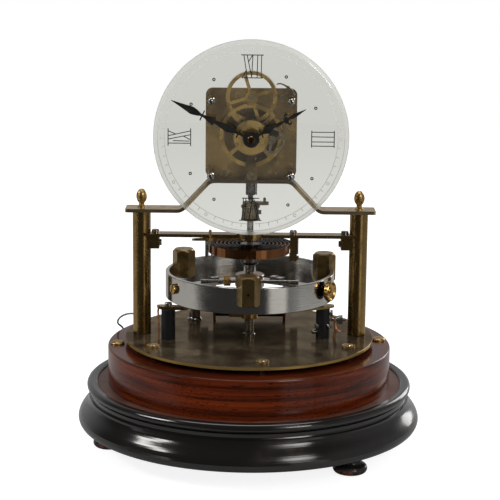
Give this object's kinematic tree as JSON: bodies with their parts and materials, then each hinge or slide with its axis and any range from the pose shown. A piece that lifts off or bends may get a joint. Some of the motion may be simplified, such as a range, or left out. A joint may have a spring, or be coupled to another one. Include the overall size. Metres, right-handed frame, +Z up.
{
  "type": "electric clock",
  "caption": "Electric table clock: horizontal balance under a bent bar, open movement behind a round glass dial, on a mahogany drum and black turned plinth.",
  "frame": {"origin": "on the floor under the balance arbor, at the middle of the round plinth", "axes": "+Z up; the dial faces -Y; +X to the right of someone who reads the dial"},
  "size_m": [0.2288, 0.2288, 0.2692],
  "materials": {
    "blued_steel": "blued, copper tone on edges",
    "brass": "aged lacquered",
    "bright_brass": "polished",
    "coil": "black covered winding",
    "dark_steel": "dark",
    "dial_glass": "frosted pale field with bevelled clear edge",
    "ebonised_wood": "polished black, worn at edges",
    "ebonite": "hard rubber, gloss",
    "fibre": "red-brown vulcanised fibre",
    "foot_wood": "black, rubbed reddish below",
    "hand_black": "black, filed",
    "iron": "soft iron, dark",
    "mahogany": "french polished",
    "movement_brass": "aged, polished",
    "nickel": "nickel plated",
    "plate_brass": "aged, dull",
    "rim_steel": "polished",
    "steel": "turned",
    "wire_brown": "old covered wire",
    "wire_grey": "grey covered wire"
  },
  "bodies": {
    "clock_frame": {"plinth": "ebonised_wood", "bun_feet": "foot_wood", "mahogany_drum": "mahogany", "drum_disc": "mahogany", "drum_studs": "bright_brass", "base_plate": "plate_brass", "pillars": "brass", "frame_bar": "brass", "finials": "bright_brass", "lower_crossbar": "brass", "crossbar_lugs": "brass", "frame_screws": "nickel", "spring_stud": "brass", "foot_bearing": "steel", "upper_bearing": "dark_steel", "ebonite_posts": "ebonite", "contact_lever": "brass", "terminal_strip": "brass", "terminal_rod": "steel", "terminal_screws": "nickel", "hookup_wires": "wire_brown", "lead_wire": "wire_grey", "magnet_coil": "coil", "coil_cheeks": "fibre", "magnet_core": "iron", "magnet_pillar": "steel", "movement_plate": "movement_brass", "plate_feet": "movement_brass", "corner_posts": "movement_brass", "dial_nuts": "nickel", "dial_glass": "dial_glass", "hand_cock": "movement_brass", "movement_screws": "dark_steel", "click_spring": "nickel"},
    "balance": {"balance_arbor": "steel", "balance_rim": "rim_steel", "balance_spokes": "rim_steel", "rim_weights": "bright_brass", "balance_screws": "bright_brass", "spoke_fittings": "steel", "balance_spring": "blued_steel", "toggle_collar": "bright_brass", "armature": "iron", "drive_drum": "movement_brass"},
    "toggle_blade": {"toggle": "steel"},
    "timing_nut_body": {"timing_nut": "bright_brass"},
    "index": {"regulator": "bright_brass"},
    "minute_train": {"centre_wheel": "movement_brass", "minute_hand": "hand_black"},
    "hour_train": {"hour_wheel": "movement_brass", "hour_hand": "hand_black"},
    "motion_train": {"motion_wheel": "dark_steel"},
    "count_train": {"count_wheel": "movement_brass"},
    "gathering_arm": {"gathering_lever": "steel"},
    "click_arm": {"click": "movement_brass"},
    "terminal_nut_body": {"terminal_nut": "nickel"},
    "levelling_front": {"levelling_screw_front": "brass"},
    "levelling_left": {"levelling_screw_left": "brass"},
    "levelling_right": {"levelling_screw_right": "brass"},
    "levelling_back": {"levelling_screw_back": "brass"}
  },
  "joints": [
    {"name": "balance_swing", "type": "hinge", "parent": "clock_frame", "child": "balance", "pos_m": [0, 0, 0.11], "axis": [0, 0, 1], "range_deg": [-50, 230], "deforming": ["balance_spring"]},
    {"name": "toggle_swing", "type": "hinge", "parent": "balance", "child": "toggle_blade", "pos_m": [-0.012, 0, 0.0885], "axis": [0, 0, 1], "range_deg": [-25, 25]},
    {"name": "timing_nut_turn", "type": "hinge", "parent": "balance", "child": "timing_nut_body", "pos_m": [0.05136, -0.02965, 0.109], "axis": [0.866, -0.5, 0], "continuous": true},
    {"name": "index_turn", "type": "hinge", "parent": "clock_frame", "child": "index", "pos_m": [0, 0, 0.138], "axis": [0, 0, 1], "range_deg": [0, 12]},
    {"name": "minute_turn", "type": "hinge", "parent": "clock_frame", "child": "minute_train", "pos_m": [0, 0, 0.2057], "axis": [0, 1, 0], "continuous": true},
    {"name": "hour_turn", "type": "hinge", "parent": "clock_frame", "child": "hour_train", "pos_m": [0, 0, 0.2057], "axis": [0, 1, 0], "continuous": true},
    {"name": "motion_turn", "type": "hinge", "parent": "clock_frame", "child": "motion_train", "pos_m": [0.01331, -0.006, 0.20383], "axis": [0, 1, 0], "continuous": true},
    {"name": "count_turn", "type": "hinge", "parent": "clock_frame", "child": "count_train", "pos_m": [0, 0.006, 0.2309], "axis": [0, 1, 0], "continuous": true},
    {"name": "gathering_swing", "type": "hinge", "parent": "clock_frame", "child": "gathering_arm", "pos_m": [0.0026, 0.0124, 0.19], "axis": [0, 1, 0], "range_deg": [-3, 3]},
    {"name": "click_lift", "type": "hinge", "parent": "clock_frame", "child": "click_arm", "pos_m": [0.0204, 0.0063, 0.2296], "axis": [0, 1, 0], "range_deg": [0, 4]},
    {"name": "terminal_nut_turn", "type": "hinge", "parent": "clock_frame", "child": "terminal_nut_body", "pos_m": [0.0607, -0.0065, 0.0843], "axis": [1, 0, 0], "continuous": true},
    {"name": "levelling_front_turn", "type": "hinge", "parent": "clock_frame", "child": "levelling_front", "pos_m": [0.00838, -0.07131, 0.072], "axis": [0, 0, 1], "continuous": true},
    {"name": "levelling_left_turn", "type": "hinge", "parent": "clock_frame", "child": "levelling_left", "pos_m": [-0.06218, -0.0359, 0.072], "axis": [0, 0, 1], "continuous": true},
    {"name": "levelling_right_turn", "type": "hinge", "parent": "clock_frame", "child": "levelling_right", "pos_m": [0.06481, -0.03091, 0.072], "axis": [0, 0, 1], "continuous": true},
    {"name": "levelling_back_turn", "type": "hinge", "parent": "clock_frame", "child": "levelling_back", "pos_m": [0, 0.0718, 0.072], "axis": [0, 0, 1], "continuous": true}
  ],
  "couplings": [
    {"joint": "hour_turn", "follows": "minute_turn", "ratio": 0.083333},
    {"joint": "motion_turn", "follows": "minute_turn", "ratio": -0.5},
    {"joint": "count_turn", "follows": "minute_turn", "ratio": -5}
  ]
}
